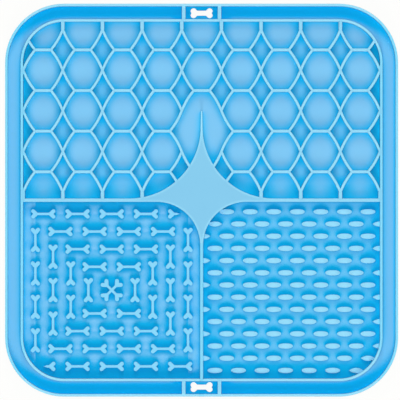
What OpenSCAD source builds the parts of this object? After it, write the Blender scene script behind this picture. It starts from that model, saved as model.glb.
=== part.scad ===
// Square silicone lick mat. A spill channel runs round three feeding areas:
// a honeycomb of tall ribs, a field of bone nubs and a field of grain nubs.
// The origin is under the middle of the mat, on the plane of the suction cup lips.

/* [Mat] */
// Width of the mat, left to right
mat_w = 200; // [190:1:230]
// Depth of the mat, from its lower edge to its upper edge
mat_d = 200; // [190:1:230]
// Radius of the outer corners
corner_r = 30; // [26:0.5:34]
// Thickness of the floor sheet
floor_t = 2; // [1.6:0.1:3]
// Height of the rim, walls and honeycomb ribs above the floor
wall_h = 7.6; // [7:0.1:10]

/* [Rim and spill channel] */
// Thickness of the outer rim
rim_w = 1.3; // [1:0.05:2]
// Width of the channel floor, rim to inner wall
channel_w = 6.5; // [5.6:0.1:8]
// Thickness of the wall between the channel and the feeding areas
inner_wall_w = 1.35; // [1:0.05:2]
// Rounding of the top edges of the rim and the inner wall
edge_r = 0.4; // [0.2:0.05:0.45]

/* [Dividers] */
// Thickness of the wall that crosses the mat
cross_wall_w = 1.8; // [1.2:0.1:2.4]
// Thickness of the wall between the two lower areas
lower_wall_w = 1.6; // [1.2:0.1:2.4]
// Radius of the two long hollow sides of the star
star_side_r = 36.2; // [32:0.2:40]
// Radius of the two corners under the star
star_corner_r = 22; // [18:0.5:26]
// Width of the star's upper point where its hollow sides end
star_neck_w = 1.1; // [0.8:0.1:1.6]
// Width of the star's upper point at its end
star_tip_w = 0.8; // [0.6:0.1:1]
// Distance from the middle of the cross wall to the star's upper point
star_reach = 45.4; // [43:0.2:50]

/* [Honeycomb] */
// Number of cell columns
cell_columns = 9; // [7:2:11]
// Number of cell rows between the first and the last crossing
cell_rows = 4; // [3:1:5]
// Length of the level ribs, corner to corner
level_rib_len = 8.1; // [7:0.1:9]
// Thickness of the level ribs
level_rib_w = 1.55; // [1.2:0.05:2]
// Thickness of the slanted ribs
slant_rib_w = 1.3; // [1:0.05:1.6]
// How far a slanted rib bows out of line at its middle
slant_bow = 0.4; // [0.1:0.05:0.6]
// Thickness of the upright stubs that join the lattice to the walls
stub_w = 1.85; // [1.6:0.05:2.2]
// Length of the stubs at the upper wall
top_stub_len = 4; // [3:0.1:6]
// Length of the stubs at the cross wall
bottom_stub_len = 3.2; // [3:0.1:6]

/* [Bone nubs] */
// Length of a bone
bone_len = 12.5; // [11:0.1:13]
// Width of a bone over its two lobes
bone_head_w = 4.9; // [4.2:0.1:5.4]
// Radius of a lobe
bone_lobe_r = 1.05; // [0.9:0.05:1.2]
// Thickness of the shaft
bone_shaft_w = 1.35; // [1:0.05:1.8]
// Distance from the end of a bone to where its shaft forks
bone_fork = 2.55; // [2.2:0.05:3]
// Height of a bone above the floor
bone_h = 3.2; // [2:0.1:4]
// Distance from the middle of the area to the first square ring of bones
first_ring = 11.9; // [11:0.1:12.5]
// Distance between rings, which is evened out to fill the area
ring_gap = 9; // [8:0.1:10.5]
// Distance from the outer ring to the walls
ring_margin = 6.1; // [5.5:0.1:7]
// Distance from the ends of the outer rows of bones to the walls
row_end_gap = 3.9; // [3:0.1:4.5]
// Distance from the ends of the outer columns of bones to the walls
column_end_gap = 13.15; // [12:0.05:14]

/* [Grain nubs] */
// Length of a grain
grain_len = 7.8; // [6:0.1:8.6]
// Width of a grain
grain_w = 3; // [2.4:0.1:3.4]
// Height of a grain above the floor
grain_h = 3.2; // [2:0.1:4]
// Radius of the domed top of a grain
grain_dome_r = 6.5; // [5.5:0.1:9]
// Number of whole grain spaces across the area
grain_columns = 7; // [5:1:7]
// Number of rows of grains
grain_rows = 14; // [8:2:14]
// Distance from the cross wall to the first row
grain_top_gap = 5; // [4:0.1:7]
// Distance from the last row to the lower wall
grain_bottom_gap = 4.05; // [3.6:0.1:7]

/* [Hang slots] */
// Length of a hang slot
slot_len = 11.2; // [10:0.1:13]
// Width of a hang slot over its two lobes
slot_head_w = 5.1; // [4.6:0.1:5.4]
// Radius of a slot's lobe
slot_lobe_r = 1.5; // [1.3:0.05:1.7]
// Width of the slot between its two ends
slot_shaft_w = 2.6; // [2:0.1:3]
// Distance from the end of the slot to where it forks
slot_fork = 2.5; // [2.2:0.1:2.9]
// Spacing of the two short ribs beside a slot
short_rib_gap = 18.2; // [16:0.1:22]
// Thickness of the short ribs
short_rib_w = 1.9; // [1.4:0.1:2.4]

/* [Suction cups] */
// Number of suction cups in each row and column
cup_columns = 6; // [4:1:6]
// Distance from the middle of the outer cups to the mat's edges
cup_margin = 22.5; // [20:0.5:28]
// Diameter of a cup over its lip
cup_d = 18; // [15:0.5:20]
// Height of a cup, lip to floor sheet
cup_h = 3.4; // [3:0.1:5]
// Diameter of the foot that joins a cup to the floor sheet
cup_foot_d = 10; // [8:0.5:12]
// Thickness of the lip at its edge
cup_lip_t = 0.5; // [0.4:0.05:0.8]
// Width of the flat ring that the cup rests on
cup_lip_w = 0.5; // [0.4:0.05:1]
// Depth of the hollow under a cup
cup_hollow = 1.6; // [1:0.1:2]

/* [Hidden] */
$fn = 64;

sheet_blue = [0.33, 0.72, 0.95];
wall_blue = [0.53, 0.84, 0.98];
nub_blue = [0.58, 0.84, 0.99];
star_blue = [0.56, 0.82, 0.96];
cup_blue = [0.25, 0.62, 0.90];

// Heights
floor_z = cup_h + floor_t;
sheet_z = cup_h;

// Plan of the mat: half sizes and insets from its outer edge
half_w = mat_w / 2;
half_d = mat_d / 2;
wall_outside = rim_w + channel_w;
wall_inside = wall_outside + inner_wall_w;
pan_x = half_w - wall_inside;
pan_y = half_d - wall_inside;
pan_r = corner_r - wall_inside;

// Dividers
cross_half = cross_wall_w / 2;
lower_half = lower_wall_w / 2;
neck_half = star_neck_w / 2;
side_x = neck_half + star_side_r;
side_y = cross_half + star_side_r;
under_x = lower_half + star_corner_r;
under_y = cross_half + star_corner_r;

// Lattice of the honeycomb. A crossing is where four slanted ribs meet, and a level rib
// lies half a cell above and between the crossings.
cell_w = 2 * pan_x / cell_columns;
lattice_y = cross_half + bottom_stub_len;
cell_h = (pan_y - top_stub_len - lattice_y) / cell_rows;
last_column = (cell_columns - 1) / 2;
slant_x = (cell_w - level_rib_len) / 2;
slant_y = cell_h / 2;
slant_run = norm([slant_x, slant_y]);
slant_bend = atan(4 * slant_bow / slant_run);
slant_turn = atan2(slant_y, slant_x);
angle_at_crossing = slant_turn + slant_bend;
angle_at_level = slant_turn - slant_bend;
bow_steps = 5;

// Corner points where the ribs of a joint meet: the crossing's upper and right corner, the
// point beyond the end of a level rib, and the corner on its edge
post_y = slant_rib_w / 2 / cos(angle_at_crossing);
post_x = slant_rib_w / 2 / sin(angle_at_crossing);
point_x = slant_rib_w / 2 / sin(angle_at_level);
shoulder_x = point_x - level_rib_w / 2 / tan(angle_at_level);

// Bone area, under the star on the left. The number of rings, their distances and the
// pitches of the bones follow from the area's size.
bone_area = [-(pan_x + lower_half) / 2, -(pan_y + cross_half) / 2];
area_half = [(pan_x - lower_half) / 2, (pan_y - cross_half) / 2];
last_ring = area_half - [ring_margin, ring_margin];
bone_rings = 1 + round((min(last_ring) - first_ring) / ring_gap);
ring_step = (last_ring - [first_ring, first_ring]) / (bone_rings - 1);
row_pitch = (2 * (area_half[0] - row_end_gap) - bone_len) / bone_rings;
column_pitch = (2 * (area_half[1] - column_end_gap) - bone_len) / (bone_rings - 1);

// Grain area, under the star on the right
grain_pitch_x = (pan_x - lower_half) / (grain_columns + 1 / 2);
grain_pitch_y = (pan_y - cross_half - grain_top_gap - grain_bottom_gap) / (grain_rows - 1);
grain_side_r = (pow(grain_len / 2, 2) + pow(grain_w / 2, 2)) / grain_w;

// Suction cups
cup_pitch_x = (mat_w - 2 * cup_margin) / (cup_columns - 1);
cup_pitch_y = (mat_d - 2 * cup_margin) / (cup_columns - 1);
hollow_r = cup_d / 2 - cup_lip_w;
hollow_ball_r = (pow(hollow_r, 2) + pow(cup_hollow, 2)) / (2 * cup_hollow);
cup_shoulder_z = cup_h / 2;
hollow_steps = 240;

// How far a cut runs past the faces that it goes through
overrun = 1;

// Points from p to q on a line that bows out to the left by its middle
function bowed(p, q, bow) = [
    for (i = [0 : bow_steps])
        let (t = i / bow_steps, run = q - p)
            p + run * t + [-run[1], run[0]] / norm(run) * 4 * bow * t * (1 - t)
];

// Places of the lattice: column i counts from the middle, row r from the cross wall
function crossing_at(i, r) = [i * cell_w, lattice_y + r * cell_h];
function level_rib_at(i, r) = [i * cell_w, lattice_y + (r + 1 / 2) * cell_h];

// Half the width of the star at height y, and whether a point lies on the star
function star_half(y) =
    y < side_y ? side_x - sqrt(pow(star_side_r, 2) - pow(side_y - y, 2)) : neck_half;
function on_star(p) = p[1] < star_reach && abs(p[0]) < star_half(max(p[1], cross_half));

// Whether a point lies outside a rounded corner of radius r whose centre is c, seen in
// the quarter that s points to
function past_corner(p, c, r, s) =
    (p[0] - c[0]) * s[0] > 0 && (p[1] - c[1]) * s[1] > 0 && norm(p - c) > r;

// The middle column is left open round the upper point of the star
function level_rib_stands(i, r) = i != 0 || level_rib_at(i, r)[1] > star_reach;
function slant_end(i, r, s) = level_rib_at(i, r) + [s[0] * level_rib_len / 2, 0];
function slant_start(i, r, s) = level_rib_at(i, r) + [s[0] * cell_w / 2, s[1] * slant_y];
function slant_stands(i, r, s) =
    let (at_rib = on_star(slant_end(i, r, s)), at_crossing = on_star(slant_start(i, r, s)))
        level_rib_stands(i, r) ? !(at_rib && at_crossing) : at_rib && !at_crossing;
function stub_stands(p) =
    !on_star(p) && !past_corner([abs(p[0]), p[1]], [pan_x - pan_r, pan_y - pan_r], pan_r, [1, 1]);

// Copies for the four corners, at x and y from the middle
module at_corners(x, y) {
    for (sx = [0, 1], sy = [0, 1])
        mirror([sx, 0]) mirror([0, sy]) translate([x, y, 0]) children();
}

// Solid slab with the mat's rounded outline, drawn in by inset
module rounded_slab(inset, height) {
    x = half_w - inset;
    y = half_d - inset;
    r = corner_r - inset;
    translate([-x, r - y, 0]) cube([2 * x, 2 * (y - r), height]);
    translate([r - x, -y, 0]) cube([2 * (x - r), 2 * y, height]);
    at_corners(x - r, y - r) rotate_extrude(angle = 90) square([r, height]);
}

// Upright wall that follows the mat's rounded outline, with rounded top edges
module outline_wall(inset, width, height, edge) {
    x = half_w - inset;
    y = half_d - inset;
    r = corner_r - inset;
    for (turn = [0, 180]) rotate(turn) {
        translate([x - width, y - r, 0])
            rotate([90, 0, 0]) linear_extrude(2 * (y - r)) wall_profile(width, height, edge);
        translate([r - x, y - width, 0])
            rotate([90, 0, 90]) linear_extrude(2 * (x - r)) wall_profile(width, height, edge);
    }
    at_corners(x - r, y - r)
        rotate_extrude(angle = 90) translate([r - width, 0]) wall_profile(width, height, edge);
}

// Cross-section of a wall, from its inner face outwards
module wall_profile(width, height, edge) {
    if (edge > 0) {
        square([width, height - edge]);
        translate([edge, 0]) square([width - 2 * edge, height]);
        for (x = [edge, width - edge]) translate([x, height - edge]) circle(edge);
    } else {
        square([width, height]);
    }
}

// Outline of a bone that lies along the x axis
module bone_outline(len, head, lobe, shaft, fork) {
    square([len - 2 * fork, shaft], center = true);
    for (sx = [-1, 1]) bone_head(len, head, lobe, shaft, fork, sx);
}

// One forked end of a bone; sx is the side that it is on
module bone_head(len, head, lobe, shaft, fork, sx) {
    reach = [fork - lobe, head / 2 - lobe];
    translate([sx * (len / 2 - fork), 0])
        for (sy = [-1, 1]) {
            translate([sx * reach[0], sy * reach[1]]) circle(lobe);
            rotate(atan2(sy * reach[1], sx * reach[0]))
                translate([-shaft / 2, -lobe]) square([norm(reach) + shaft / 2, 2 * lobe]);
        }
}

module bone(turn) {
    rotate(turn)
        linear_extrude(bone_h)
            bone_outline(bone_len, bone_head_w, bone_lobe_r, bone_shaft_w, bone_fork);
}

// Bone cut off at its middle, with its shaft drawn to a point; sx is the side of its head
module half_bone(sx) {
    shaft_end = bone_len / 2 - bone_fork;
    linear_extrude(bone_h) {
        bone_head(bone_len, bone_head_w, bone_lobe_r, bone_shaft_w, bone_fork, sx);
        polygon([
            [0, 0], [sx * shaft_end / 2, bone_shaft_w / 2], [sx * shaft_end, bone_shaft_w / 2],
            [sx * shaft_end, -bone_shaft_w / 2], [sx * shaft_end / 2, -bone_shaft_w / 2]
        ]);
    }
}

// Distance of ring k from the middle of the bone area, to its columns and to its rows
function ring_at(k) = [first_ring, first_ring] + (k - 1) * ring_step;

// Middle of bone n in the upper or lower row of ring k, and the corner that it turns to the
// nearest corner of the area
function row_bone_at(k, n, side) =
    bone_area + [(n - k / 2) * row_pitch, side * ring_at(k)[1]];
function row_bone_corner(k, n, side) =
    row_bone_at(k, n, side) + [sign(n - k / 2) * bone_len, side * bone_head_w] / 2;
function bone_is_cut(k, n, side) =
    let (p = row_bone_corner(k, n, side))
        past_corner(p, [-under_x, -under_y], star_corner_r, [1, 1]) ||
        past_corner(p, [pan_r - pan_x, pan_r - pan_y], pan_r, [-1, -1]);

// Domed nub with two rounded sides that meet in points
module grain() {
    intersection() {
        linear_extrude(grain_h)
            intersection_for(side = [-1, 1])
                translate([0, side * (grain_side_r - grain_w / 2)]) circle(grain_side_r);
        translate([0, 0, grain_h - grain_dome_r]) sphere(grain_dome_r);
    }
}

// Places of the grains: even rows start on the lower wall, odd rows half a space in
function grain_at(n, r) =
    [lower_half + (n + (r % 2) / 2) * grain_pitch_x,
        -cross_half - grain_top_gap - r * grain_pitch_y];

// Whether p lies past the star's corner or the mat's corner, each moved outwards by slack
function off_grain_area(p, slack) =
    past_corner(p, [under_x, -under_y], star_corner_r + slack, [-1, 1]) ||
    past_corner(p, [pan_x - pan_r, pan_r - pan_y], pan_r + slack, [1, -1]);

// A grain stands where its middle lies on its area or on the wall round it, and is cut
// where its end or its side reaches past that wall
function grain_stands(n, r) = !off_grain_area(grain_at(n, r), inner_wall_w / 2);
function grain_is_cut(n, r) =
    let (p = grain_at(n, r), ends = [grain_len / 2, 0], sides = [0, grain_w / 2])
        p[0] - ends[0] < lower_half || p[0] + ends[0] > pan_x ||
        off_grain_area(p - ends, 0) || off_grain_area(p + ends, 0) ||
        off_grain_area(p - sides, 0) || off_grain_area(p + sides, 0);

// Plan of the star with the parts of the cross wall that its hollow sides run out on
module star_outline() {
    for (side = [0, 1]) mirror([side, 0]) {
        difference() {
            square([side_x, side_y]);
            translate([side_x, side_y]) circle(star_side_r);
        }
        difference() {
            translate([0, -under_y]) square([under_x, under_y]);
            translate([under_x, -under_y]) circle(star_corner_r);
        }
        translate([under_x, -cross_half]) square([side_x - under_x, cross_half]);
    }
    polygon([
        [-neck_half, side_y], [neck_half, side_y],
        [star_tip_w / 2, star_reach], [-star_tip_w / 2, star_reach]
    ]);
}

// Room inside the inner wall from corner point p on, without the star
module room_from(p, size) {
    difference() {
        intersection() {
            rounded_slab(wall_inside, wall_h);
            translate([p[0], p[1], 0]) cube([size[0], size[1], wall_h]);
        }
        linear_extrude(wall_h) star_outline();
    }
}

// Upper feeding area, which bounds the honeycomb
module honeycomb_space() {
    room_from([-half_w, cross_half], [mat_w, half_d]);
}

// One slanted rib from its crossing to the end of its level rib
module slant_rib(i, r, s) {
    translate(slant_start(i, r, s))
        mirror([s[0] > 0 ? 1 : 0, 0]) mirror([0, s[1] > 0 ? 1 : 0])
            linear_extrude(wall_h)
                polygon(concat(
                    bowed([0, post_y], [slant_x - point_x, slant_y], slant_bow),
                    bowed([slant_x + shoulder_x, slant_y - level_rib_w / 2], [post_x, 0],
                        -slant_bow)
                ));
}

module slant_ribs(rising) {
    intersection() {
        for (i = [-last_column : last_column], r = [0 : cell_rows - 1], sx = [-1, 1])
            let (s = [sx, rising ? sx : -sx])
                if (slant_stands(i, r, s)) slant_rib(i, r, s);
        honeycomb_space();
    }
}

// Stub from a crossing straight to its wall; up is 1 at the upper wall and -1 at the cross wall
module stub(p, len, up) {
    translate(p)
        linear_extrude(wall_h)
            polygon([
                [-stub_w / 2, up * len], [stub_w / 2, up * len], [stub_w / 2, 0], [post_x, 0],
                [0, -up * post_y], [-post_x, 0], [-stub_w / 2, 0]
            ]);
}

module stubs(row, len, up) {
    intersection() {
        for (i = [-cell_columns / 2 : cell_columns / 2])
            let (p = crossing_at(i, row))
                if (stub_stands(p)) stub(p, len, up);
        honeycomb_space();
    }
}

module floor_panel() {
    color(sheet_blue) translate([0, 0, sheet_z]) rounded_slab(wall_outside, floor_t);
}

module tab_block() {
    for (side = [0, 180])
        rotate(side)
            translate([-(short_rib_gap + short_rib_w) / 2, half_d - wall_outside, 0])
                cube([short_rib_gap + short_rib_w, wall_outside, floor_t]);
}

module channel_floor() {
    color(sheet_blue) translate([0, 0, sheet_z])
        difference() {
            outline_wall(0, wall_outside, floor_t, 0);
            tab_block();
        }
}

module hang_tabs() {
    color(sheet_blue) translate([0, 0, sheet_z])
        difference() {
            tab_block();
            for (side = [-1, 1])
                translate([0, side * (half_d - rim_w - channel_w / 2), -overrun])
                    linear_extrude(floor_t + 2 * overrun)
                        bone_outline(slot_len, slot_head_w, slot_lobe_r, slot_shaft_w, slot_fork);
        }
}

module outer_rim() {
    color(wall_blue) translate([0, 0, floor_z]) outline_wall(0, rim_w, wall_h, edge_r);
}

module inner_wall() {
    color(wall_blue) translate([0, 0, floor_z])
        outline_wall(wall_outside, inner_wall_w, wall_h, edge_r);
}

module short_ribs() {
    color(wall_blue) translate([0, 0, floor_z])
        for (side = [0, 180], x = [-1, 1])
            rotate(side)
                translate([
                    x * short_rib_gap / 2 - short_rib_w / 2, half_d - wall_outside, 0
                ])
                    cube([short_rib_w, channel_w, wall_h]);
}

module cross_wall() {
    color(wall_blue) translate([0, 0, floor_z])
        for (side = [0, 180])
            rotate(side)
                translate([side_x, -cross_half, 0])
                    cube([pan_x - side_x, cross_wall_w, wall_h]);
}

module lower_wall() {
    color(wall_blue) translate([-lower_half, -pan_y, floor_z])
        cube([lower_wall_w, pan_y - under_y, wall_h]);
}

module star_divider() {
    color(star_blue) translate([0, 0, floor_z]) linear_extrude(wall_h) star_outline();
}

module honeycomb_level_ribs() {
    color(wall_blue) translate([0, 0, floor_z])
        for (i = [-last_column : last_column], r = [0 : cell_rows - 1])
            if (level_rib_stands(i, r))
                translate(level_rib_at(i, r))
                    linear_extrude(wall_h)
                        polygon([
                            for (end = [-1, 1], y = [-1, 0, 1])
                                end * [
                                    y == 0 ? level_rib_len / 2 + point_x
                                        : level_rib_len / 2 - shoulder_x,
                                    y * level_rib_w / 2
                                ]
                        ]);
}

module honeycomb_rising_ribs() {
    color(wall_blue) translate([0, 0, floor_z]) slant_ribs(true);
}

module honeycomb_falling_ribs() {
    color(wall_blue) translate([0, 0, floor_z]) slant_ribs(false);
}

module honeycomb_crossings() {
    color(wall_blue) translate([0, 0, floor_z])
        intersection() {
            for (i = [-cell_columns / 2 : cell_columns / 2], r = [1 : cell_rows - 1])
                if (!on_star(crossing_at(i, r)))
                    translate(crossing_at(i, r))
                        linear_extrude(wall_h)
                            polygon([[post_x, 0], [0, post_y], [-post_x, 0], [0, -post_y]]);
            rounded_slab(wall_inside, wall_h);
        }
}

module honeycomb_top_stubs() {
    color(wall_blue) translate([0, 0, floor_z]) stubs(cell_rows, top_stub_len, 1);
}

module honeycomb_bottom_stubs() {
    color(wall_blue) translate([0, 0, floor_z]) stubs(0, bottom_stub_len, -1);
}

module bone_rows() {
    color(nub_blue) translate([0, 0, floor_z])
        for (k = [1 : bone_rings], n = [0 : k], side = [-1, 1])
            if (!bone_is_cut(k, n, side)) translate(row_bone_at(k, n, side)) bone(0);
}

module bone_columns() {
    color(nub_blue) translate([0, 0, floor_z])
        for (k = [1 : bone_rings], n = [0 : k - 1], side = [-1, 1])
            translate(bone_area + [side * ring_at(k)[0], (n - (k - 1) / 2) * column_pitch])
                bone(90);
}

module half_bones() {
    color(nub_blue) translate([0, 0, floor_z])
        for (k = [1 : bone_rings], n = [0 : k], side = [-1, 1])
            if (bone_is_cut(k, n, side))
                translate(row_bone_at(k, n, side)) half_bone(-sign(n - k / 2));
}

module crossed_bones() {
    color(nub_blue) translate([0, 0, floor_z]) translate(bone_area) {
        bone(45);
        bone(-45);
    }
}

module grain_nubs() {
    color(nub_blue) translate([0, 0, floor_z])
        for (r = [0 : grain_rows - 1], n = [0 : grain_columns])
            if (grain_stands(n, r) && !grain_is_cut(n, r)) translate(grain_at(n, r)) grain();
}

module wall_grain_nubs() {
    color(nub_blue) translate([0, 0, floor_z])
        intersection() {
            for (r = [0 : grain_rows - 1], n = [0 : grain_columns])
                if (grain_stands(n, r) && grain_is_cut(n, r)) translate(grain_at(n, r)) grain();
            room_from([lower_half, -half_d], [half_w, half_d - cross_half]);
        }
}

module suction_cups() {
    middle = (cup_columns - 1) / 2;
    color(cup_blue)
        for (i = [-middle : middle], j = [-middle : middle])
            translate([i * cup_pitch_x, j * cup_pitch_y, 0])
                rotate_extrude()
                    difference() {
                        polygon([
                            [0, 0], [cup_d / 2, 0], [cup_d / 2, cup_lip_t],
                            [cup_foot_d / 2, cup_shoulder_z], [cup_foot_d / 2, cup_h], [0, cup_h]
                        ]);
                        translate([0, cup_hollow - hollow_ball_r])
                            circle(hollow_ball_r, $fn = hollow_steps);
                    }
}

floor_panel();
channel_floor();
hang_tabs();
outer_rim();
inner_wall();
short_ribs();
cross_wall();
lower_wall();
star_divider();
honeycomb_level_ribs();
honeycomb_rising_ribs();
honeycomb_falling_ribs();
honeycomb_crossings();
honeycomb_top_stubs();
honeycomb_bottom_stubs();
bone_rows();
bone_columns();
half_bones();
crossed_bones();
grain_nubs();
wall_grain_nubs();
suction_cups();
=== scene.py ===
"""Looks of a square silicone lick mat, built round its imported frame.

The mat is one moulding of soft blue silicone. Each class below makes one stretch of it: the rim, the
floor, the network of walls with the honeycomb and the star, the bone nubs, the grain nubs and the
suction cups underneath. Outlines come from the frame, so every stretch lies where the frame says.
"""

import logging
import math
from collections.abc import Callable, Iterable
from dataclasses import dataclass
from enum import Enum

import bmesh
import bpy
from mathutils import Matrix, Vector
from mathutils.bvhtree import BVHTree
from mathutils.geometry import delaunay_2d_cdt


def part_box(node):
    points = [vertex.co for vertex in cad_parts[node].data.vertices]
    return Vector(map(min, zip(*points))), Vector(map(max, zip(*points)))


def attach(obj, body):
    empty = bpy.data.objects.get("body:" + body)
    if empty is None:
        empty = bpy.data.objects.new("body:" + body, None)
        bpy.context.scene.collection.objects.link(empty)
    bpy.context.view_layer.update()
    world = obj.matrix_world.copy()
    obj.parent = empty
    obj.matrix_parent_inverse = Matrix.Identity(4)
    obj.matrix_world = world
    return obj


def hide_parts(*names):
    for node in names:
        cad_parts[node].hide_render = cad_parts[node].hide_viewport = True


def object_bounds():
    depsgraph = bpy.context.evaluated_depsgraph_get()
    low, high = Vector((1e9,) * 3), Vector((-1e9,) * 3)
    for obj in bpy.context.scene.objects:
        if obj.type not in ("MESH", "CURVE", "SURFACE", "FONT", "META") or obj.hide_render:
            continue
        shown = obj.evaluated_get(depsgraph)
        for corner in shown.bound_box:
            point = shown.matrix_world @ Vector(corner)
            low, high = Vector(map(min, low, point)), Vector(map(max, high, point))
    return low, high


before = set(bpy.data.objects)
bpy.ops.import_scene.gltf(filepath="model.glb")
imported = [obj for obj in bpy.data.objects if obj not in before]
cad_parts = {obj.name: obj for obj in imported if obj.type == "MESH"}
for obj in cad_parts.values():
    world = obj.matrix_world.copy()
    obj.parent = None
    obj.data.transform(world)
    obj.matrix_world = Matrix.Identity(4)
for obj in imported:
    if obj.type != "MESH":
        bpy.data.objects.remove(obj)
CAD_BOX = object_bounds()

MM = 0.001
BODY = "root"
UP = Vector((0, 0, 1))
DOWN = Vector((0, 0, -1))
WHITE = (1.0, 1.0, 1.0)
QUARTERS = 4
QUARTER_TURN = math.pi / 2
CREASE = math.radians(42)
NOISE_ROUGHNESS = 0.55
NOISE_MIDDLE = 0.5

# How the plan on which a solid stands is found, joined and filled.
WELD = 0.0001 * MM
GAP = 0.02 * MM
FACING_DOWN = -0.9
FOOT_DEPTH = 10 * WELD
FILL_PRECISION = 0.002
STRAIGHT = math.radians(0.5)

# Places of the colour sockets on a Mix node, whose names repeat.
MIX_SHARE = 0
MIX_FIRST = 6
MIX_SECOND = 7
MIX_RESULT = 2

log = logging.getLogger("lick_mat")

Colour = tuple[float, float, float]
Socket = bpy.types.NodeSocket
Outputs = bpy.types.NodeOutputs


def add_node(tree: bpy.types.NodeTree, kind: str, **values: object) -> bpy.types.Node:
    """Adds a shader node and sets it up.

    Args:
        tree: The node tree of a material, a world or a group.
        kind: The node's type, without the word ShaderNode.
        **values: Properties of the node, or values of the inputs named with underscores.

    Returns:
        The new node.
    """
    node = tree.nodes.new("ShaderNode" + kind)
    for name, value in values.items():
        if hasattr(node, name):
            setattr(node, name, value)
        else:
            node.inputs[name.replace("_", " ")].default_value = value
    return node


def rgba(colour: Colour) -> tuple[float, float, float, float]:
    """Returns the colour with full alpha."""
    return (*colour, 1.0)


def new_group(name: str, inputs: dict[str, float]) -> bpy.types.NodeTree:
    """Starts a shader node group whose one output is the value Mask.

    Args:
        name: Name of the group.
        inputs: Names and default values of its inputs.

    Returns:
        The group, with its input and output nodes named enter and leave.
    """
    group = bpy.data.node_groups.new(name, "ShaderNodeTree")
    for label, value in inputs.items():
        entry = group.interface.new_socket(label, in_out="INPUT", socket_type="NodeSocketFloat")
        entry.default_value = value
    group.interface.new_socket("Mask", in_out="OUTPUT", socket_type="NodeSocketFloat")
    group.nodes.new("NodeGroupInput").name = "enter"
    group.nodes.new("NodeGroupOutput").name = "leave"
    return group


def calculate(tree: bpy.types.NodeTree, operation: str, *values: Socket | float) -> Socket:
    """Adds one step of arithmetic.

    Args:
        tree: The node tree.
        operation: The step, in the Math node's own word.
        *values: The numbers and sockets that go into it, in order.

    Returns:
        The result.
    """
    node = add_node(tree, "Math", operation=operation)
    for socket, value in zip(node.inputs, values):
        feed(tree, value, socket)
    return node.outputs[0]


def feed(tree: bpy.types.NodeTree, value: Socket | float | tuple, socket: Socket) -> None:
    """Links a socket to an input, or sets the input to a number or a colour.

    Args:
        tree: The node tree.
        value: The socket, number or colour.
        socket: The input.
    """
    if isinstance(value, bpy.types.NodeSocket):
        tree.links.new(value, socket)
    else:
        socket.default_value = value


def smooth_step(tree: bpy.types.NodeTree, value: Socket, low: Socket | float,
                high: Socket | float) -> Socket:
    """Adds a soft step.

    Args:
        tree: The node tree.
        value: What the step depends on.
        low: Value at which the step gives 0.
        high: Value at which it gives 1.

    Returns:
        The step, from 0 to 1.
    """
    node = add_node(tree, "MapRange", interpolation_type="SMOOTHSTEP")
    feed(tree, value, node.inputs["Value"])
    feed(tree, low, node.inputs["From Min"])
    feed(tree, high, node.inputs["From Max"])
    return node.outputs["Result"]


def blend(tree: bpy.types.NodeTree, share: Socket, first: Socket | tuple,
          second: Socket | tuple) -> Socket:
    """Adds a mix of two colours.

    Args:
        tree: The node tree.
        share: Share of the second colour.
        first: The colour at 0.
        second: The colour at 1.

    Returns:
        The mixed colour.
    """
    node = add_node(tree, "Mix", data_type="RGBA")
    feed(tree, share, node.inputs[MIX_SHARE])
    feed(tree, first, node.inputs[MIX_FIRST])
    feed(tree, second, node.inputs[MIX_SECOND])
    return node.outputs[MIX_RESULT]


def noise_group(name: str, detail: float) -> bpy.types.NodeTree:
    """Makes a group that gives a soft noise from 0 to 1 on the piece's own coordinates.

    Args:
        name: Name of the group.
        detail: Number of finer layers in the noise.

    Returns:
        A group with the inputs Grains per Metre and Contrast and the output Mask.
    """
    group = new_group(name, {"Grains per Metre": 1000.0, "Contrast": 1.0})
    enter, leave = group.nodes["enter"], group.nodes["leave"]
    place = add_node(group, "TexCoord")
    noise = add_node(group, "TexNoise", Detail=detail, Roughness=NOISE_ROUGHNESS)
    group.links.new(place.outputs["Object"], noise.inputs["Vector"])
    group.links.new(enter.outputs["Grains per Metre"], noise.inputs["Scale"])
    middle = calculate(group, "SUBTRACT", noise.outputs["Fac"], NOISE_MIDDLE)
    mask = calculate(group, "MULTIPLY_ADD", middle, enter.outputs["Contrast"], NOISE_MIDDLE)
    mask.node.use_clamp = True
    group.links.new(mask, leave.inputs["Mask"])
    return group


def height_group() -> bpy.types.NodeTree:
    """Makes a group that gives a mask from 0 to 1 between two heights of the piece.

    Returns:
        A group with the inputs Low and High, in metres, and the output Mask.
    """
    group = new_group("height_band", {"Low": 0.0, "High": 1.0})
    enter, leave = group.nodes["enter"], group.nodes["leave"]
    split = add_node(group, "SeparateXYZ")
    group.links.new(add_node(group, "TexCoord").outputs["Object"], split.inputs[0])
    mask = smooth_step(group, split.outputs["Z"], enter.outputs["Low"], enter.outputs["High"])
    group.links.new(mask, leave.inputs["Mask"])
    return group


def field_group() -> bpy.types.NodeTree:
    """Makes a group that gives 1 in a rounded square round the origin, and 0 outside it.

    Returns:
        A group with the inputs Core, which is half the side less the corner radius, and Corner, in
        metres, and the output Mask.
    """
    group = new_group("rounded_field", {"Core": 1.0, "Corner": 0.0})
    enter, leave = group.nodes["enter"], group.nodes["leave"]
    place = add_node(group, "TexCoord")
    size = add_node(group, "VectorMath", operation="ABSOLUTE")
    core = add_node(group, "CombineXYZ", Z=1.0)
    past = add_node(group, "VectorMath", operation="SUBTRACT")
    outside = add_node(group, "VectorMath", operation="MAXIMUM")
    reach = add_node(group, "VectorMath", operation="LENGTH")
    link = group.links.new
    link(place.outputs["Object"], size.inputs[0])
    link(enter.outputs["Core"], core.inputs["X"])
    link(enter.outputs["Core"], core.inputs["Y"])
    link(size.outputs[0], past.inputs[0])
    link(core.outputs[0], past.inputs[1])
    link(past.outputs[0], outside.inputs[0])
    link(outside.outputs[0], reach.inputs[0])
    mask = calculate(group, "LESS_THAN", reach.outputs["Value"], enter.outputs["Corner"])
    link(mask, leave.inputs["Mask"])
    return group


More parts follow.
